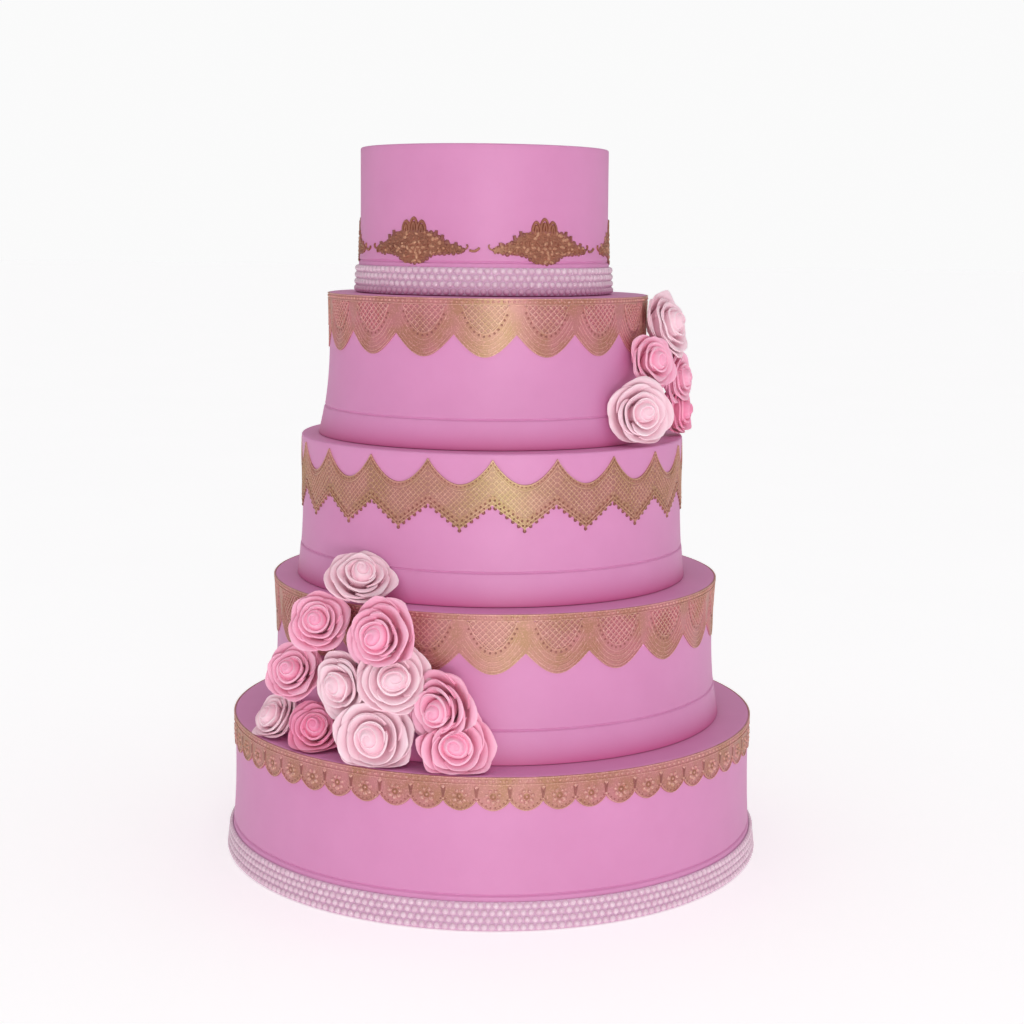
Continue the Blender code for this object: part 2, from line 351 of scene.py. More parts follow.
class meshParts:
    # gathers the points and faces of one piece, which may lie on a tier's side

    def __init__(self, tier=None):
        self.tier = tier
        self.points = []
        self.faces = []
        self.kinds = []  # which material each face has
        self.shades = []

    def add(self, points, faces, kind=0, shades=None):
        first = len(self.points)
        self.points += points
        self.faces += [tuple(first + index for index in face) for face in faces]
        self.kinds += [kind] * len(faces)
        self.shades += shades or [0.0] * len(points)

    def make(self, name, nodes, slot, materials, smooth=45):
        mesh = bpy.data.meshes.new(name)
        mesh.from_pydata([tuple(point) for point in self.points], [], self.faces)
        mesh.validate()
        for material in materials:
            mesh.materials.append(finishes[material])
        mesh.polygons.foreach_set("material_index", self.kinds)
        if any(self.shades):
            layer = mesh.attributes.new("shade", "FLOAT", "POINT")
            layer.data.foreach_set("value", self.shades)
        mesh.shade_smooth()
        mesh.set_sharp_from_angle(angle=radians(smooth))
        piece = bpy.data.objects.new(name, mesh)
        bpy.context.scene.collection.objects.link(piece)
        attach(piece, "root")
        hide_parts(*nodes)
        return piece


def ringFaces(first, second, count):
    # faces between two closed rows of points, the second row below the first
    return [
        (second + step, second + (step + 1) % count, first + (step + 1) % count, first + step)
        for step in range(count)
    ]


def turnsOf(count):
    # even steps round a circle
    return [2 * pi * step / count for step in range(count)]


gap = 0.0003  # between pieces that touch
tiers = (  # from the bottom up
    dict(radius=0.2000, height=0.1078, flare=0.0045, waist=0.0004, shift=0.0000, seam=0.0240),
    dict(radius=0.1696, height=0.1063, flare=0.0050, waist=0.0016, shift=0.0011, seam=0.0240),
    dict(radius=0.1456, height=0.1075, flare=0.0035, waist=0.0010, shift=-0.0022, seam=0.0240),
    dict(radius=0.1205, height=0.1063, flare=0.0080, waist=0.0010, shift=-0.0064, seam=0.0212),
    dict(radius=0.0931, height=0.1070, flare=0.0022, waist=0.0000, shift=-0.0097, seam=0.0240),
)
tierBuild = dict(
    around=192,
    sideRows=22,
    flarePower=3,
    rimRound=0.0014,
    seamStep=0.0004,  # the side stands out below its seam
    seamDepth=0.0008,
    seamWidth=0.0022,
    seamLip=0.0006,
    footRound=0.0012,
    lowReach=0.021,  # how far up the painted shade near a tier's foot goes
    ledgeShade=((0.0, 0.12), (0.003, 0.06), (0.009, 0.0)),  # painted shade on the ledge, at these distances from the next tier
    uneven=0.00022,  # the hand-smoothed side
    unevenScale=24,
)


def topOf(number):
    return sum(tier["height"] for tier in tiers[:number])


def footOf(number):
    return topOf(number - 1) + (gap if number > 1 else 0)


def radiusOf(number):
    return tiers[number - 1]["radius"]


def plainSide(number, height):
    # a tier's radius at a height, before its seam and its unevenness
    tier = tiers[number - 1]
    share = min(1, max(0, (height - topOf(number - 1)) / tier["height"]))
    spread = tier["flare"] * (1 - share) ** tierBuild["flarePower"]
    return tier["radius"] + spread - 4 * tier["waist"] * share * (1 - share)


def sideOf(number, azimuth, height):
    place = facing(azimuth) * radiusOf(number)
    place.z = height + number
    rise = noise.noise(place * tierBuild["unevenScale"])
    return plainSide(number, height) + tierBuild["uneven"] * rise


def around(number, radius, azimuth, height):
    shift = tiers[number - 1]["shift"]
    return Vector((shift + radius * sin(azimuth), -radius * cos(azimuth), height))


def ringAt(number, radius, height):
    return [around(number, radius, azimuth, height) for azimuth in turnsOf(tierBuild["around"])]


def sideRing(number, height, out):
    # points all round a tier, this far out of its side
    return [around(number, sideOf(number, azimuth, height) + out, azimuth, height)
            for azimuth in turnsOf(tierBuild["around"])]


def makeTier(number):
    look, radius = tierBuild, radiusOf(number)
    foot, top = footOf(number), topOf(number)
    rim, step, lip = look["rimRound"], look["seamStep"], look["seamLip"]
    seam = topOf(number - 1) + tiers[number - 1]["seam"]
    above, below = seam + look["seamWidth"] / 2, seam - look["seamWidth"] / 2
    # (height, how far out of the side) from the rim down
    profile = [(top - rim * (1 - cos(a)), -rim * (1 - sin(a))) for a in map(radians, (0, 22, 45, 68, 90))]
    profile += [(top - rim + (above - top + rim) * row / look["sideRows"], 0)
                for row in range(1, look["sideRows"] + 1)]
    profile += [(seam + 0.0002, -look["seamDepth"]), (seam - 0.0001, -look["seamDepth"]),
                (below, step * 0.8), (below - lip, step)]
    profile += [(below - lip + (foot + look["footRound"] - below + lip) * row / 6, step)
                for row in range(1, 7)]
    profile += [(foot + 0.0002, step - 0.0001), (foot, step - 0.0004)]
    # the ledge from its middle out: (the tier it is round, radius, painted shade)
    ledge = [(number, share * radius, 0.0) for share in (0.3, 0.6)]
    if number < len(tiers):
        wall = plainSide(number + 1, top)
        ledge += [(number + 1, wall + out, shade) for out, shade in look["ledgeShade"]]
    ledge.append((number, 0.985 * radius, 0.0))
    rows = [(ringAt(owner, far, top), shade) for owner, far, shade in ledge]
    for height, out in profile:
        # painted shade, darker towards the tier's foot
        low = max(0, 1 - (height - foot) / look["lowReach"]) ** 2
        rows.append((sideRing(number, height, out), low))
    rows += [(ringAt(number, share * radius, foot), 1.0) for share in (0.8, 0.4)]
    count = look["around"]
    points = [point for row, shade in rows for point in row]
    shades = [shade for row, shade in rows for point in row]
    faces = []
    for index in range(len(rows) - 1):
        faces += ringFaces(index * count, (index + 1) * count, count)
    points += [around(number, 0, 0, top), around(number, 0, 0, foot)]
    last = (len(rows) - 1) * count
    for i in range(count):
        after = (i + 1) % count
        faces += [(i, after, len(points) - 2), (last + after, last + i, len(points) - 1)]
    piece = meshParts()
    piece.add(points, faces, shades=[*shades, 0.0, 1.0])
    piece.make(f"tier{number}", [f"tier_{number}"], "icing", ["icing"], 30)


for number in range(1, len(tiers) + 1):
    makeTier(number)
print("tiers made")


# Lace is drawn on a tier's side as (along, down): along the side at the rim's radius, and down from
# the tier's top.
laceBuild = dict(
    plate=0.0005,  # thickness of the solid parts
    sink=0.0001,  # how far threads sink into the icing
    threadRise=0.0010,
    lineWidth=0.0009,
    lineRise=0.0011,
    beadRise=0.0013,
)
# the materials of an open lace's kinds of faces: plate, pale (a lighter copy, painted highlight), dark (a
# darker copy, which on the laces paints the shade in eyelets, slits and dimples) and net
plateKind, paleKind, darkKind, netKind = range(4)


def onSide(piece, along, down, out):
    azimuth = along / radiusOf(piece.tier)
    height = topOf(piece.tier) - down
    return around(piece.tier, sideOf(piece.tier, azimuth, height) + out, azimuth, height)


def addBand(piece, columns, closed=True, outer=laceBuild["plate"], kind=plateKind):
    # a plate between two lines; columns holds (along, upper, lower)
    points = []
    for along, upper, lower in columns:
        for down in (upper, (upper + lower) / 2, lower):
            points += [onSide(piece, along, down, out) for out in (-laceBuild["sink"], outer)]
    count = len(columns)
    faces = []
    for step in range(count if closed else count - 1):
        here, there = 6 * step, 6 * ((step + 1) % count)
        for row in (0, 2):
            faces.append((here + row + 1, here + row + 3, there + row + 3, there + row + 1))
            faces.append((here + row, there + row, there + row + 2, here + row + 2))
        faces.append((here, here + 1, there + 1, there))
        faces.append((here + 4, there + 4, there + 5, here + 5))
    if not closed:
        last = 6 * (count - 1)
        faces += [(0, 2, 3, 1), (2, 4, 5, 3)]
        faces += [(last, last + 1, last + 3, last + 2), (last + 2, last + 3, last + 5, last + 4)]
    piece.add(points, faces, kind)


def addRib(piece, path, width, rise=laceBuild["threadRise"], closed=False, kind=plateKind):
    # a raised thread along a path of (along, down)
    sink = -laceBuild["sink"]
    count = len(path)
    points = []
    for index, (along, down) in enumerate(path):
        before = path[index - 1] if index or closed else path[index]
        after = path[(index + 1) % count] if index < count - 1 or closed else path[index]
        going = Vector((after[0] - before[0], after[1] - before[1]))
        if not 1e-9 < going.length < radiusOf(piece.tier):
            going = Vector((1, 0))  # also where a ring round the tier closes
        going.normalize()
        for share, lift in ((-0.5, sink), (-0.275, rise), (0.275, rise), (0.5, sink)):
            aside = width * share
            points.append(onSide(piece, along - going.y * aside, down + going.x * aside, lift))
    faces = []
    for step in range(count if closed else count - 1):
        here, there = 4 * step, 4 * ((step + 1) % count)
        for corner in range(4):
            after = (corner + 1) % 4
            faces.append((here + corner, here + after, there + after, there + corner))
    if not closed:
        last = 4 * (count - 1)
        faces += [(3, 2, 1, 0), (last, last + 1, last + 2, last + 3)]
    piece.add(points, faces, kind)


def addLine(piece, path, closed=False):
    # a thread that stands out more, in the lighter copy that paints its highlight
    addRib(piece, path, laceBuild["lineWidth"], laceBuild["lineRise"], closed, paleKind)


def addBead(piece, along, down, radius, rise, sides=8, kind=plateKind, stretch=1.0, lean=0.0):
    # a small dome, or an oval one
    turned = Matrix.Rotation(lean, 2)
    points = []
    for share, lift in ((1.0, 0.0), (0.82, 0.6), (0.45, 0.92)):
        for angle in turnsOf(sides):
            aside = turned @ Vector((stretch * cos(angle), sin(angle))) * radius * share
            points.append(onSide(piece, along + aside.x, down + aside.y, rise * lift - laceBuild["sink"]))
    points.append(onSide(piece, along, down, rise))
    faces = ringFaces(sides, 0, sides) + ringFaces(2 * sides, sides, sides)
    faces += [(2 * sides + i, 3 * sides, 2 * sides + (i + 1) % sides) for i in range(sides)]
    piece.add(points, [face[::-1] for face in faces] + [tuple(range(sides))], kind)


def addBeads(piece, path, pitch, radius, rise, kind, start):
    for along, down in alongPath(path, pitch, start):
        addBead(piece, along, down, radius, rise, 6, kind)


def alongPath(path, pitch, start):
    # points at even steps along a path
    found = []
    left = start
    for first, second in zip(path, path[1:]):
        length = dist(first, second)
        while left <= length:
            share = left / length
            found.append(tuple(a + (b - a) * share for a, b in zip(first, second)))
            left += pitch
        left -= length
    return found


def addNet(piece, middle, inside, halfWidth, low, high, look):
    # slanting threads both ways over the part of a motif that inside(across, down) gives
    step = 0.0006
    pitch = look["netPitch"]
    span = high - low + 2 * halfWidth
    for lean in (-1, 1):
        start = -ceil(span / pitch) * pitch
        while start < span:
            run = []
            down = low
            while down <= high + step:
                across = start + lean * (down - low)
                if abs(across) <= halfWidth and inside(across, down):
                    run.append((middle + across, down))
                else:
                    addRun(piece, run, look["netThread"])
                    run = []
                down += step
            addRun(piece, run, look["netThread"])
            start += pitch


def addRun(piece, run, width):
    # one thread of a net, from the points it was found at
    if len(run) > 2:
        parts = max(1, round(len(run) / 9))
        picked = [run[round(index * (len(run) - 1) / parts)] for index in range(parts + 1)]
        addRib(piece, picked, width, kind=paleKind)


def allRound(piece, count):
    return [2 * pi * radiusOf(piece.tier) * step / count for step in range(count)]


def addBorder(piece, steps, look):
    # two lines all the way round, with beads in between
    for down in look["borderLines"]:
        addLine(piece, [(along, down) for along in allRound(piece, steps)], closed=True)
    down, radius, rise = look["borderBead"]
    for along in allRound(piece, round(2 * pi * radiusOf(piece.tier) / look["borderPitch"])):
        addBead(piece, along, down, radius, rise, kind=paleKind)


def finishLace(piece, name, node, looks):
    piece.make(name, [node], "gold", looks)
    print(name, "faces", len(piece.faces))


fanBands = (
    dict(tier=2, count=23, drop=0.0430, valley=0.0280, middle=-0.8),
    dict(tier=4, count=17, drop=0.0415, valley=0.0255, middle=-0.9),
)
fanLace = dict(
    rimDrop=0.0003,
    border=0.0050,
    borderSteps=10,  # for each fan
    borderLines=(0.0008, 0.0047),
    borderBead=(0.00265, 0.0012, 0.0013),  # how far down, radius, rise
    borderPitch=0.0037,
    netTop=0.0046,
    netReach=0.74,  # share of half a fan
    netDown=0.60,  # share of its drop
    netOver=0.0002,  # how far the net goes under the line round it
    netPower=2.2,
    netPitch=0.0045,
    netThread=0.0011,
    netBack=0.0002,  # the fine mesh behind the net's threads
    arcs=(0.3, 0.5, 0.7, 0.88, 1.0),  # shares of the way from the net to the scalloped edge
    arcInset=0.0005,
    arc=(0.0008, 0.0009),  # width, rise
    eyeletPitch=0.0039,
    eyelet=(0.0013, 0.0009),  # radius, rise
    steps=14,
)
roseGoldLooks = ("roseGold", "roseGoldPale", "roseGoldDark", "roseGoldNet")


def makeFans(band):
    look, count, number = fanLace, band["count"], band["tier"]
    half = pi * radiusOf(number) / count
    netLow = look["netDown"] * band["drop"]
    netSide = look["netReach"] * half
    shares = [i / look["steps"] for i in range(-look["steps"], look["steps"])]
    piece = meshParts(number)

    def netEdge(share):
        # the net's lower edge at a share of half a fan
        fall = min(1, abs(share) / look["netReach"]) ** look["netPower"]
        return netLow + (look["border"] - netLow) * fall

    def scallop(share):
        return band["valley"] + (band["drop"] - band["valley"]) * cos(pi / 2 * share)

    def inNet(across, down):
        return down < netEdge(across / half) + look["netOver"]

    def line(part, reach):
        # a line across the fan, part of the way from its net's edge to its scallop
        path = []
        for share in [*shares, 1.0]:
            inner = look["netReach"] * share * reach
            outer = share * reach
            down = netEdge(inner) * (1 - part) + (scallop(outer) - look["arcInset"]) * part
            path.append((middle + half * (inner + (outer - inner) * part), down))
        return path

    columns = []
    for fan in range(count):
        middle = radiusOf(number) * radians(band["middle"]) + 2 * half * fan
        columns += [(middle + share * half, netEdge(share), scallop(share)) for share in shares]
        for part in look["arcs"]:
            addRib(piece, line(part, 0.97), *look["arc"], kind=paleKind)
        addLine(piece, line(0.0, 0.99))
        # dark eyelets, painted shade in the holes along the net's edge
        addBeads(piece, line(0.13, 0.95), look["eyeletPitch"], *look["eyelet"], darkKind, 0.001)
        addNet(piece, middle, inNet, netSide, look["netTop"], netLow, look)
        net = [(middle + share * half, look["netTop"], netEdge(share) + look["netOver"])
               for share in shares if abs(share) < look["netReach"]]
        addBand(piece, net, closed=False, outer=look["netBack"], kind=netKind)
    addBand(piece, columns)
    # the border along the rim
    steps = count * look["borderSteps"]
    addBand(piece, [(along, look["rimDrop"], look["border"]) for along in allRound(piece, steps)])
    addBorder(piece, steps, look)
    finishLace(piece, f"laceTier{number}", f"lace_{number}", roseGoldLooks)


for band in fanBands:
    makeFans(band)


pointedLace = dict(
    tier=3,
    count=20,
    peak=0.0038,
    arc=0.0216,
    arcPower=0.85,
    notch=0.0388,
    point=0.0560,
    ribbon=0.0040,  # depth of the plain band under the arcs
    eyelet=(0.0009, 0.0009),  # radius, rise
    eyeletPitch=0.0030,
    hem=0.0030,
    beadRows=((0.0017, 0.0009, darkKind), (0.0046, 0.0011, darkKind), (0.0066, 0.0010, paleKind)),
    beadRise=0.0011,  # of those rows, which are (above the hem, radius, kind)
    beadPitch=0.0040,
    drops=0.0032,  # how far the drops hang below the hem
    dropPitch=0.0052,
    drop=(0.0014, 0.0013),  # radius, rise
    dropStem=(0.0020, 0.0009),  # width, rise
    netPitch=0.0040,
    netThread=0.0010,
    netBack=0.0006,
    netHem=0.0078,  # how far the net stays above the hem
    steps=12,
)


def makePointed():
    look = pointedLace
    number = look["tier"]
    half = pi * radiusOf(number) / look["count"]
    slope = look["point"] - look["notch"]
    shares = [i / look["steps"] for i in range(-look["steps"], look["steps"] + 1)]
    piece = meshParts(number)

    def arcAt(share, grown=0.0):
        # the upper edge, or a line parallel to it lower down
        fall = max(0, cos(pi / 2 * share)) ** look["arcPower"]
        return look["peak"] + grown + (look["arc"] - look["peak"]) * fall

    def hemAt(share, lift=0.0):
        return look["notch"] - look["drops"] - lift + slope * (1 - abs(share))

    def inNet(across, down):
        share = across / half
        return arcAt(share, look["ribbon"] + 0.0008) < down < hemAt(share, look["netHem"])

    def arcLine(grown):
        return [(middle + half * share, arcAt(share, grown)) for share in shares]

    def hemLine(side, parts, lift=0.0):
        return [(middle + side * half * s / parts, hemAt(s / parts, lift)) for s in range(parts + 1)]

    columns = []
    for cell in range(look["count"]):
        middle = half * (2 * cell + 1)
        columns += [(middle + share * half, arcAt(share), hemAt(share)) for share in shares[:-1]]
        for grown in (0.0005, look["ribbon"]):
            addLine(piece, arcLine(grown))
        # dark eyelets along the ribbon, painted shade in its holes
        path = arcLine(look["ribbon"] / 2)
        addBeads(piece, path, look["eyeletPitch"], *look["eyelet"], darkKind, 0.0008)
        for side in (-1, 1):
            for lift in (0.0004, look["hem"]):
                addLine(piece, hemLine(side, 6, lift))
            # two rows of dark beads paint the shade of dimples along the hem, the pale row a highlight
            for lift, size, kind in look["beadRows"]:
                addBeads(piece, hemLine(side, 24, lift), look["beadPitch"], size, look["beadRise"],
                         kind, 0.001 + lift * 0.3)
            # drops that hang from the hem, with one for both sides at the point
            for index, (along, down) in enumerate(alongPath(hemLine(side, 6), look["dropPitch"], 0.0001)):
                if index or side < 0:
                    low = down + look["drops"] * (0.6 if index else 0.85) * 0.5
                    addRib(piece, [(along, down - 0.0003), (along, low)], *look["dropStem"])
                    addBead(piece, along, low, *look["drop"], kind=darkKind)
        addNet(piece, middle, inNet, half, look["arc"] * 0.3, look["point"] - look["netHem"], look)
        net = [(middle + s * half / 18, arcAt(s / 18, look["ribbon"] + 0.0006),
                hemAt(s / 18, look["netHem"] - 0.0004)) for s in range(-18, 19)]
        addBand(piece, [column for column in net if column[1] < column[2]],
                closed=False, outer=look["netBack"], kind=netKind)
    addBand(piece, columns)
    finishLace(piece, f"laceTier{number}", f"lace_{number}", ("gold", "goldPale", "goldDark", "goldNet"))


makePointed()


narrowLace = dict(
    tier=1,
    count=55,
    drop=0.0241,
    valley=0.0174,
    power=0.75,
    rimDrop=0.0003,
    borderSteps=4,  # for each scallop
    borderLines=(0.0008, 0.0054),
    borderBead=(0.0030, 0.0013, 0.0012),  # how far down, radius, rise
    borderPitch=0.0046,
    eyelet=(0.0010, 0.0008),  # radius, rise
    eyeletPitch=0.0033,
    rosette=0.0140,  # how far down the rosettes' middles are
    rosetteSize=0.0042,
    rosetteHeart=(0.0036, 0.0008),
    rosetteMiddle=(0.0012, 0.0013),
    rosetteBeads=7,
    slit=(0.0078, 0.0150),  # from and to, down between two scallops
    slitSpread=0.0011,
    slitRib=(0.0018, 0.0008),  # width, rise
    slitBeads=((0.0075, 0.0018), (0.0158, 0.0013)),  # how far down, radius
    slitBeadRise=0.0013,
    steps=8,
)


def makeNarrow():
    look = narrowLace
    number = look["tier"]
    half = pi * radiusOf(number) / look["count"]
    shares = [i / look["steps"] for i in range(-look["steps"], look["steps"] + 1)]
    piece = meshParts(number)

    def scallop(share, lift=0.0):
        fall = max(0, cos(pi / 2 * share)) ** look["power"]
        return look["valley"] - lift + (look["drop"] - look["valley"]) * fall

    def line(reach, lift):
        return [(middle + half * share * reach, scallop(share, lift)) for share in shares]

    columns = []
    for cell in range(look["count"]):
        middle = 2 * half * cell
        columns += [(middle + share * half, look["rimDrop"], scallop(share)) for share in shares[:-1]]
        addLine(piece, line(0.96, 0.0006))
        # dark eyelets, painted shade in holes along the scallop
        addBeads(piece, line(0.9, 0.0022), look["eyeletPitch"], *look["eyelet"], darkKind, 0.0012)
        # a rosette of light beads (painted highlight) round a dark heart, and dark slits between the
        # scallops (painted shade in the cuts)
        addBead(piece, middle, look["rosette"], *look["rosetteHeart"], 10, netKind)
        addBead(piece, middle, look["rosette"], *look["rosetteMiddle"], 6, paleKind)
        for turn in range(look["rosetteBeads"]):
            lean = 2 * pi * (turn + 0.5) / look["rosetteBeads"]
            addBead(piece, middle + look["rosetteSize"] * sin(lean),
                    look["rosette"] - look["rosetteSize"] * cos(lean),
                    0.0018 - 0.0003 * cos(lean), 0.0016, 6, paleKind)
        between = middle + half
        for side in (-1, 1):
            slit = zip((between + side * look["slitSpread"], between), look["slit"])
            addRib(piece, list(slit), *look["slitRib"], kind=darkKind)
        for down, size in look["slitBeads"]:
            addBead(piece, between, down, size, look["slitBeadRise"], 6, paleKind)
    addBand(piece, columns)
    addBorder(piece, look["count"] * look["borderSteps"], look)
    finishLace(piece, f"laceTier{number}", f"lace_{number}", (*roseGoldLooks[:3], "bronze"))


makeNarrow()


medallions = dict(
    tier=5,
    count=6,
    first=-32.5,
    height=0.0338,  # above the tier's foot
    # One half of a medallion in mm from its middle, mirrored for the other half.
    plate=(  # across, up, down
        (0.0, 12.8, 11.4), (8.0, 12.6, 10.8), (11.5, 12.2, 8.0), (14.0, 11.6, 6.2),
        (18.5, 10.2, 5.0), (21.5, 7.8, 4.8), (24.5, 5.6, 4.6), (28.0, 4.0, 4.4), (32.0, 2.8, 4.2),
        (36.0, 1.6, 3.4), (38.4, 0.4, 2.4),
    ),
    lobe=4.2,  # the pitch of the plate's ragged edge, and its depth
    lobeDepth=1.1,
    loops=(  # across, up at the foot and at the tip, half its width; the first two are the middle's
        (0.0, 10.5, 21.2, 3.1), (0.0, 10.5, 18.0, 1.1), (6.6, 10.0, 19.0, 2.9), (6.6, 10.0, 16.2, 1.0),
    ),
    scrolls=(  # start, heading from straight up, length, bend at the start and at the end, width
        ((1.0, -1.0), 30, 17, 20, 560, 1.2),
        ((2.0, -3.0), 84, 18, -30, -520, 1.2),
        ((9.5, -1.0), 60, 18, 10, 540, 1.1),
        ((10.0, -2.4), 104, 14, -20, -460, 1.1),
        ((17.5, 0.0), 66, 15, 10, 520, 1.1),
        ((24.0, 0.5), 74, 12, 10, 500, 1.0),
        ((30.5, -0.2), 78, 10, 10, 480, 1.0),
        ((36.0, -1.2), 88, 8, -10, -420, 1.1),
    ),
    spurs=((18.0, 8.6, 12.4), (22.6, 5.5, 9.4), (32.6, 1.4, 4.2)),  # across, up at the foot and tip
    # the curl that lies apart, past the right tail only
    tail=((42.6, -1.2), (44.4, -1.9), (46.6, -1.8), (48.4, -0.8), (49.8, 0.6)),
    edgePitch=3.7,  # of the beads along the plate's edges, and their sizes
    edge=(0.9, 2.3),
    spotPitch=4.0,  # of those on it
    spotRows=(-9.2, -6.0, -2.8, 0.4, 3.6, 6.8, 10.0),
    sizes=(1.1, 1.7),
    stretches=(1.1, 1.9),
    stray=1.0,
)


def curl(start, heading, length, bend, tighter, steps=18):
    # a path that winds up from its start; its bend in degrees grows from the start to the end
    path = [start]
    angle = radians(heading)
    for step in range(steps):
        share = (step + 0.5) / steps
        angle += radians(bend + (tighter - bend) * share * share) / steps
        across, up = path[-1]
        path.append((across + sin(angle) * length / steps, up + cos(angle) * length / steps))
    return path


def makeMedallion(index):
    look = medallions
    number = look["tier"]
    middle = radians(look["first"] + 360 * index / look["count"]) * radiusOf(number)
    down = tiers[number - 1]["height"] - look["height"]
    reach = look["plate"][-1][0]
    piece = meshParts(number)

    def placed(side, across, up):
        return middle + side * across * 0.001, down - up * 0.001

    def plateAt(across):
        for first, second in zip(look["plate"], look["plate"][1:]):
            if abs(across) <= second[0]:
                break
        share = (abs(across) - first[0]) / (second[0] - first[0])
        ragged = look["lobeDepth"] * (1 - abs(sin(pi * across / look["lobe"])) ** 0.5)
        up, low = (first[i] + (second[i] - first[i]) * share - ragged for i in (1, 2))
        along, top = placed(1, across, up)
        return along, top, placed(1, across, -low)[1]

    plate = [plateAt(reach * i / 60) for i in range(-60, 61)]
    addBand(piece, plate, closed=False)
    for side in (-1, 1):
        for across, foot, tip, half in look["loops"][2 * (side < 0):]:
            path = [placed(side, across + half * sin(t) * (1 + 0.3 * cos(t)),
                           foot + (tip - foot) * (1 - cos(t)) / 2) for t in turnsOf(16)]
            addRib(piece, path, 0.0022, closed=True)
            addBead(piece, *placed(side, across, tip - 0.4), 0.0013, 0.0012)
        for *shape, width in look["scrolls"]:
            addRib(piece, [placed(side, *place) for place in curl(*shape)], width * 0.0012, 0.0011)
        for across, foot, tip in look["spurs"]:
            spur = [placed(side, across, foot), placed(side, across + 0.5, tip)]
            addRib(piece, spur, 0.0026, 0.0011, kind=darkKind)
    # the bumpy edge, and oval beads all over the plate, most of them in the lighter copy that paints
    # highlights
    chance = random.Random(7)
    for end, out in ((1, 0.0006), (2, -0.0006)):
        path = [(column[0], column[end] + out) for column in plate]
        for along, low in alongPath(path, look["edgePitch"] * 0.001, 0.0008):
            addBead(piece, along, low, chance.uniform(*look["edge"]) * 0.001, 0.0012, 7, darkKind)
    for row, up in enumerate(look["spotRows"]):
        across = -reach + look["spotPitch"] * (row % 2) / 2
        while across < reach:
            place = [value + chance.uniform(-1, 1) * look["stray"] for value in (across, up)]
            along, low = placed(1, *place)
            upper, lower = plateAt(max(-reach, min(reach, place[0])))[1:]
            size, stretch = chance.uniform(*look["sizes"]) * 0.001, chance.uniform(*look["stretches"])
            if upper + size < low < lower - size:
                kind = chance.choice((paleKind, paleKind, plateKind))
                addBead(piece, along, low, size, 0.0014, 8, kind, stretch, chance.uniform(0, pi))
            across += look["spotPitch"]
    addRib(piece, [placed(1, *place) for place in look["tail"]], 0.0020)
    looks = ("bronze", "bronzePale", "goldDark")
    finishLace(piece, f"medallion{index + 1}", f"medallion_{index + 1}", looks)


for index in range(medallions["count"]):
    makeMedallion(index)


pearlTrims = dict(
    tiers=(1, 5),
    rows=4,
    rowPitch=0.0049,
    pitch=0.0054,
    beadRadius=0.00245,
    proud=0.0020,
    paintedShadeTier=5,  # its lowest row takes the darker copy, painted shade
    stripThick=0.0005,
    lift=0.0005,
    sides=12,
    rings=(-4, 24, 50, 72),  # degrees up a bead
)


def makePearlTrim(number):
    look = pearlTrims
    foot = footOf(number) + look["lift"]
    top = foot + look["rows"] * look["rowPitch"]
    strip, thick = tierBuild["seamStep"] + gap, look["stripThick"]
    count, sides = tierBuild["around"], look["sides"]
    piece = meshParts()
    # the strip that carries the beads
    profile = [(top, 0.0), (top, thick), ((top + foot) / 2, thick), (foot, thick), (foot, 0.0)]
    points = [point for height, out in profile for point in sideRing(number, height, strip + out)]
    faces = []
    for ring in range(len(profile)):
        faces += ringFaces(ring * count, (ring + 1) % len(profile) * count, count)
    piece.add(points, faces, kind=1)
    # every bead has the same faces
    faces = []
    for ring in range(len(look["rings"]) - 1):
        faces += ringFaces((ring + 1) * sides, ring * sides, sides)
    faces += [(3 * sides + s, 3 * sides + (s + 1) % sides, 4 * sides) for s in range(sides)]
    faces.append(tuple(reversed(range(sides))))
    beads = round(2 * pi * (plainSide(number, foot) + strip) / look["pitch"])
    for row in range(look["rows"]):
        height = foot + (row + 0.5) * look["rowPitch"]
        for i in range(beads):
            azimuth = 2 * pi * (i + 0.5 * (row % 2)) / beads
            side = sideOf(number, azimuth, height) + strip + thick
            centre = around(number, side, azimuth, height)
            out, across = facing(azimuth), facing(azimuth + pi / 2)
            points = []
            for lean in map(radians, look["rings"]):
                for angle in turnsOf(sides):
                    ring = across * cos(angle) + Vector((0, 0, sin(angle)))
                    points.append(
                        centre + ring * look["beadRadius"] * cos(lean) + out * look["proud"] * sin(lean)
                    )
            points.append(centre + out * look["proud"])
            # the lowest row on that tier takes the darker copy: painted shade
            piece.add(points, faces, kind=2 if number == look["paintedShadeTier"] and not row else 0)
    looks = ["pearl", "strip", "pearlPaintedShade"]
    piece.make(f"pearlTrimTier{number}", [f"pearl_trim_{number}"], "pearl", looks, 60)
    print("pearl trim on tier", number, "beads", beads * look["rows"])


for number in pearlTrims["tiers"]:
    makePearlTrim(number)


# Each rose: the tier whose side it leans on, its azimuth there, its distance out of that side, its
# height above the tier's foot, its diameter, the azimuth and elevation it faces, its spin, how much
# it presses its neighbours back, and its shade.
leftRoses = (
    (3, -33.8, 0.0200, 0.0195, 0.052, 6, 50, 10, 1.00, "pale"),
    (2, -41.0, 0.0205, 0.0950, 0.047, -12, 24, 40, 0.90, "medium"),
    (2, -24.2, 0.0215, 0.0915, 0.056, -28, 8, 0, 1.20, "medium"),
    (2, -49.6, 0.0215, 0.0550, 0.047, -22, 24, 25, 0.80, "medium"),
    (2, -34.0, 0.0210, 0.0520, 0.054, -40, 0, 60, 1.00, "pale"),
    (2, -21.5, 0.0215, 0.0620, 0.055, 2, 18, 30, 1.10, "pale"),
    (2, -58.2, 0.0215, 0.0145, 0.046, -52, 32, 50, 0.85, "pale"),
    (2, -43.0, 0.0185, 0.0165, 0.048, -14, 32, 15, 0.70, "deep"),
    (2, -25.5, 0.0240, 0.0200, 0.060, -12, 8, 45, 1.15, "pale"),
    (2, -11.4, 0.0200, 0.0430, 0.056, -34, 4, 5, 1.10, "medium"),
    (2, -8.0, 0.0235, 0.0185, 0.057, 4, 8, 35, 0.95, "medium"),
)
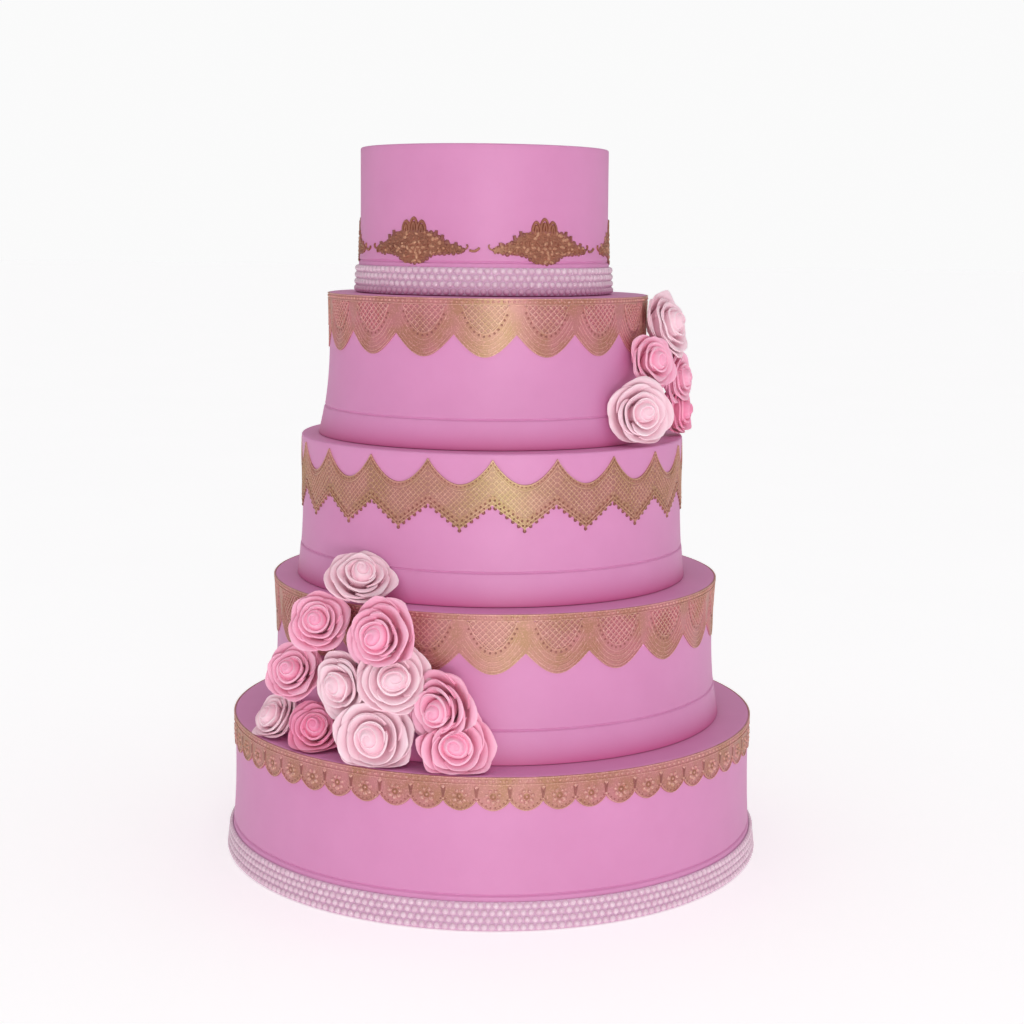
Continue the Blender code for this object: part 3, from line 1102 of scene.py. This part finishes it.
rightRoses = (
    (4, 79.0, 0.0193, 0.0852, 0.054, 58, 20, 20, 0.90, "pale"),
    (4, 62.0, 0.0180, 0.0597, 0.044, 40, 14, 0, 0.95, "medium"),
    (4, 84.0, 0.0270, 0.0452, 0.046, 62, 6, 45, 0.95, "medium"),
    (4, 51.2, 0.0210, 0.0234, 0.053, 22, 7, 30, 1.20, "pale"),
    (4, 86.0, 0.0290, 0.0195, 0.048, 66, 8, 10, 0.80, "deep"),
)
roseFields = ("tier", "azimuth", "out", "up", "size", "faceAzimuth", "faceUp", "spin", "front", "shade")

# Shares of a rose's outer radius. line is a petal's middle line from its foot to its tip, as
# (distance from the rose's axis, height).
petalRings = (
    dict(count=3, turn=20, line=((0.10, -0.40), (0.27, -0.28), (0.31, 0.10), (0.39, 0.27)),
         wide=84, tuck=0.020, curl=0.01, corner=0.08, wave=0.01, uneven=0.03),
    dict(count=4, turn=75, line=((0.12, -0.46), (0.41, -0.32), (0.44, 0.08), (0.58, 0.22)),
         wide=66, tuck=0.028, curl=0.04, corner=0.17, wave=0.022, uneven=0.06),
    dict(count=5, turn=10, line=((0.13, -0.52), (0.56, -0.38), (0.60, 0.05), (0.80, 0.14)),
         wide=57, tuck=0.030, curl=0.07, corner=0.24, wave=0.03, uneven=0.08),
    dict(count=5, turn=46, line=((0.12, -0.60), (0.70, -0.46), (0.76, 0.00), (1.00, 0.00)),
         wide=56, tuck=0.030, curl=0.07, corner=0.31, wave=0.04, uneven=0.08),
)
roseBuild = dict(
    petalThick=0.0014,
    petalEdge=0.42,  # how round a petal's edge is, as a share of that
    acrossSteps=14,
    alongSteps=11,
    lipStart=0.66,  # where along a petal its lip begins to roll back, and over how much of it
    lipLength=0.34,
    # the foot that holds the petals together, as (distance from the axis, height)
    foot=((0.05, -0.38), (0.16, -0.44), (0.20, -0.56), (0.14, -0.66), (0.05, -0.70)),
    pressDepth=0.0030,
    ledgeDepth=0.0070,  # how softly petals bend on a ledge
    ledgeSpread=0.5,  # and how far they slide forwards there
    pressRounds=3,
    petalSpace=0.0005,
    overlap=0.0055,  # how far petals reach in between a neighbour's
    lift=0.014,  # how far a rose with a larger front stands out
    laceRoom=0.0013,
    ripple=0.0011,  # the hand-made unevenness
    rippleScale=70,
    rippleSeed=1,
)
rosebud = dict(
    radius=0.33,
    top=0.46,
    rim=0.14,  # height of its edge
    foot=-0.34,
    wrap=0.14,  # from one wrap's lip to the next
    lip=0.07,  # how high the lips stand
    crease=0.22,  # share of a wrap where its lip rises
    sides=40,
    rings=30,
)


def roseFacing(rose):
    return facing(radians(rose["faceAzimuth"]), radians(rose["faceUp"]))


def roseMiddle(rose):
    height = topOf(rose["tier"] - 1) + rose["up"]
    radius = radiusOf(rose["tier"]) + rose["out"]
    lift = roseBuild["lift"] * (rose["front"] - 1)
    return around(rose["tier"], radius, radians(rose["azimuth"]), height) + roseFacing(rose) * lift


def roseFrame(rose):
    turn = roseFacing(rose).to_track_quat("Z", "Y").to_matrix().to_4x4()
    return Matrix.Translation(roseMiddle(rose)) @ turn @ Matrix.Rotation(radians(rose["spin"]), 4, "Z")


def press(past, depth=roseBuild["pressDepth"]):
    # how far a point may stay past a limit that it would pass by this much
    if past < -depth:
        return past
    return -depth * exp(-(past + depth) / depth)


def partingPlane(rose, other):
    # a point of the plane between two roses, and its normal out of the first one
    here = roseMiddle(rose)
    apart = roseMiddle(other) - here
    reach = rose["size"] * rose["front"]
    return here + apart * reach / (reach + other["size"] * other["front"]), apart.normalized()


def pressOnNeighbours(point, planes):
    for middle, away in planes:
        past = (point - middle) @ away - roseBuild["overlap"]
        point = point + away * (press(past) - past)
    return point


def pressOnTiers(point, rose):
    ledge = topOf(rose["tier"] - 1) + roseBuild["petalSpace"]
    bent = ledge - press(ledge - point.z, roseBuild["ledgeDepth"]) - point.z
    side = plainSide(rose["tier"], point.z + bent) + roseBuild["laceRoom"] + roseBuild["petalSpace"]
    shift = tiers[rose["tier"] - 1]["shift"]
    sideways = Vector((point.x - shift, point.y, 0))
    outward = sideways.length + bent * roseBuild["ledgeSpread"]
    moved = sideways.normalized() * (side - press(side - outward))
    return Vector((moved.x + shift, moved.y, point.z + bent))


def bezier(line, share):
    left = 1 - share
    weights = (left ** 3, 3 * left * left * share, 3 * left * share * share, share ** 3)
    return [sum(w * p[axis] for w, p in zip(weights, line)) for axis in (0, 1)]


def addSheet(piece, grid, outward, thick):
    # a sheet of even thickness with a rounded edge, from the grid of its middle surface
    rows, columns = len(grid), len(grid[0])
    cells = [(i, j) for i in range(rows) for j in range(columns)]

    def normalAt(i, j):
        down = grid[min(i + 1, rows - 1)][j] - grid[max(i - 1, 0)][j]
        across = grid[i][min(j + 1, columns - 1)] - grid[i][max(j - 1, 0)]
        return across.cross(down).normalized()

    normals = {cell: normalAt(*cell) for cell in cells}
    points = [grid[i][j] + normals[i, j] * side * thick / 2 for side in (1, -1) for i, j in cells]
    shades = [outward[i][j] for side in (1, -1) for i, j in cells]
    sheet = rows * columns
    faces = []
    for i, j in cells:
        if i < rows - 1 and j < columns - 1:
            a, b = i * columns + j, (i + 1) * columns + j
            faces.append((a, a + 1, b + 1, b))
            faces.append((sheet + a, sheet + b, sheet + b + 1, sheet + a + 1))
    # the edge, run round the grid once
    loop = [(0, j) for j in range(columns - 1)] + [(i, columns - 1) for i in range(rows - 1)]
    loop += [(rows - 1, j) for j in range(columns - 1, 0, -1)] + [(i, 0) for i in range(rows - 1, 0, -1)]
    edge = [grid[i][j] for i, j in loop]
    for place, (i, j) in enumerate(loop):
        after = (place + 1) % len(loop)
        away = (edge[after] - edge[place - 1]).cross(normals[i, j]).normalized()
        points.append(edge[place] - away * thick * roseBuild["petalEdge"])
        shades.append(outward[i][j])
        here, there = i * columns + j, loop[after][0] * columns + loop[after][1]
        low, high = 2 * sheet + place, 2 * sheet + after
        faces.append((there, here, low, high))
        faces.append((high, low, sheet + here, sheet + there))
    piece.add(points, faces, shades=shades)


def petalGrid(ring, outer, angle, chance):
    rows, columns = roseBuild["alongSteps"] + 1, roseBuild["acrossSteps"] + 1
    phase = chance.uniform(0, 2 * pi)
    longer = 1 + ring["uneven"] * chance.uniform(-1.2, 0.6)
    lean = ring["uneven"] * chance.uniform(-0.8, 0.8)
    wide = radians(ring["wide"]) * (1 + chance.uniform(-0.1, 0.1))
    skew = chance.uniform(-0.25, 0.25)
    grid, outward = [], []
    for i in range(rows):
        along = (i / (rows - 1)) ** 0.85
        line, shades = [], []
        for j in range(columns):
            across = 2 * j / (columns - 1) - 1
            # the tip is a blunt corner, and the petal rounds off at its sides
            aside = abs(across - skew * (1 - across * across))
            reach = longer * (1.02 - ring["corner"] * aside ** 1.1 - 0.10 * aside ** 5)
            share = along * reach
            x, z = bezier(ring["line"], min(share, 1.0))
            ahead = bezier(ring["line"], min(share, 1.0) + 0.01)
            going = Vector((ahead[0] - x, ahead[1] - z)).normalized()
            if share > 1:  # straight on past the end of its line
                x += going.x * (share - 1) * 0.8
                z += going.y * (share - 1) * 0.8
            # the lip rolls back, more at its sides
            lip = max(0, (share - roseBuild["lipStart"]) / roseBuild["lipLength"]) ** 2
            roll = ring["curl"] * lip * (0.7 + 0.6 * min(1, abs(across) / 0.6) ** 1.5)
            ripple = ring["wave"] * lip * sin(4.5 * across + phase)
            off = roll + ripple + ring["tuck"] * across + lean * share
            x += going.y * off
            z -= going.x * off
            turn = angle + wide * across * (0.42 + 0.58 * min(1, share / 0.6) ** 0.8)
            line.append(Vector((x * cos(turn), x * sin(turn), z)) * outer)
            # share from foot to tip, which the petal's material turns into painted shade near the foot
            # and painted highlight at the edge
            shades.append(min(1, max(0.02, share * (0.9 + 0.1 * abs(across)))))
        grid.append(line)
        outward.append(shades)
    return grid, outward


def addBud(piece, outer, chance):
    # a closed egg with the lips of its wound petals on it
    look = rosebud
    sides, rings, crease = look["sides"], look["rings"], look["crease"]
    start = chance.uniform(0, 1)
    oval = chance.uniform(0.04, 0.14)
    wrap = look["wrap"] * chance.uniform(0.95, 1.3)
    aside = Vector((chance.uniform(-0.05, 0.05), chance.uniform(-0.05, 0.05), 0))
    points, shades = [], []
    for ring in range(1, rings + 1):
        share = ring / rings
        for side, angle in enumerate(turnsOf(sides)):
            radius = look["radius"] * share
            turns = (radius / wrap - side / sides + start) % 1
            # each lip rises fast from the crease inside it and falls slowly towards the next one
            rise = turns / crease if turns < crease else (1 - turns) / (1 - crease)
            rise = rise * rise * (3 - 2 * rise) * min(1, (radius / 0.17) ** 2)
            height = look["rim"] + (look["top"] - look["rim"]) * (1 - share ** 2.2)
            height += look["lip"] * (rise - 0.4)
            radius *= 1 + oval * cos(2 * angle + start * 6)
            points.append((Vector((radius * cos(angle), radius * sin(angle), height)) + aside) * outer)
            # lower in the creases between the lips, where the depth colour paints their shade
            shades.append(0.45 + 0.45 * rise)
    foot = look["radius"] * 0.8
    points += [Vector((foot * cos(a), foot * sin(a), look["foot"])) * outer for a in turnsOf(sides)]
    points.append((aside + Vector((0, 0, look["top"] - 0.01))) * outer)
    shades += [0.1] * sides + [0.8]
    faces = []
    for ring in range(rings):
        faces += ringFaces(ring * sides, (ring + 1) * sides, sides)
    faces += [(side, (side + 1) % sides, len(points) - 1) for side in range(sides)]
    faces.append(tuple(rings * sides + side for side in reversed(range(sides))))
    piece.add(points, faces, shades=shades)


def addTurned(piece, outer, profile, shade, sides=20):
    # a closed round body from its profile of (radius, height)
    points = [Vector((r * cos(a), r * sin(a), z)) * outer for r, z in profile for a in turnsOf(sides)]
    faces = []
    for ring in range(len(profile) - 1):
        faces += ringFaces(ring * sides, (ring + 1) * sides, sides)
    last = (len(profile) - 1) * sides
    faces += [tuple(range(sides)), tuple(last + s for s in reversed(range(sides)))]
    piece.add(points, faces, shades=[shade] * len(points))


def makeRose(name, node, rose, cluster, chance):
    outer = rose["size"] / 2
    piece = meshParts()
    addBud(piece, outer, chance)
    addTurned(piece, outer, roseBuild["foot"], 0.3)
    for ring in petalRings:
        for petal in range(ring["count"]):
            angle = radians(ring["turn"] + 360 * petal / ring["count"] + chance.uniform(-10, 10))
            addSheet(piece, *petalGrid(ring, outer, angle, chance), roseBuild["petalThick"])
    turn = roseFrame(rose)
    planes = [partingPlane(rose, other) for other in cluster if other is not rose]
    own = Vector([chance.uniform(0, 9) for axis in range(3)])
    for index, point in enumerate(piece.points):
        point = point + noise.noise_vector(point * roseBuild["rippleScale"] + own) * roseBuild["ripple"]
        point = turn @ point
        for _ in range(roseBuild["pressRounds"]):
            point = pressOnNeighbours(point, planes)
        piece.points[index] = pressOnTiers(point, rose)
    piece.make(name, [node], f"petal_{rose['shade']}", [rose["shade"]], 55)
    return len(piece.faces)


noise.seed_set(roseBuild["rippleSeed"])
for side, rows in (("left", leftRoses), ("right", rightRoses)):
    cluster = [dict(zip(roseFields, row)) for row in rows]
    for index, rose in enumerate(cluster):
        faces = makeRose(f"rose{side.capitalize()}{index + 1:02d}", f"rose_{side}_{index + 1:02d}",
                         rose, cluster, random.Random(f"{side}{index}"))
    print("roses on the", side, "faces each", faces)


floorLook = dict(
    size=30.0,
    colours=((250, 249, 250), (247, 246, 247)),
    clouds=3,  # per metre
    roughness=0.7,
)


def addFloor():
    size = floorLook["size"]
    mesh = bpy.data.meshes.new("floor")
    corners = [(-size, -size, 0), (size, -size, 0), (size, size, 0), (-size, size, 0)]
    mesh.from_pydata(corners, [], [(0, 1, 2, 3)])
    finish = finishMaker("floor")
    mesh.materials.append(finish.coat({
        "Base Color": finish.blend(finish.grain(floorLook["clouds"], 3), *floorLook["colours"]),
        "Roughness": floorLook["roughness"],
        "Emission Color": (1, 1, 1, 1),
        "Emission Strength": lighting["floorGlow"],
    }))
    floor = bpy.data.objects.new("floor", mesh)
    bpy.context.scene.collection.objects.link(floor)


addFloor()

print("scene ready")
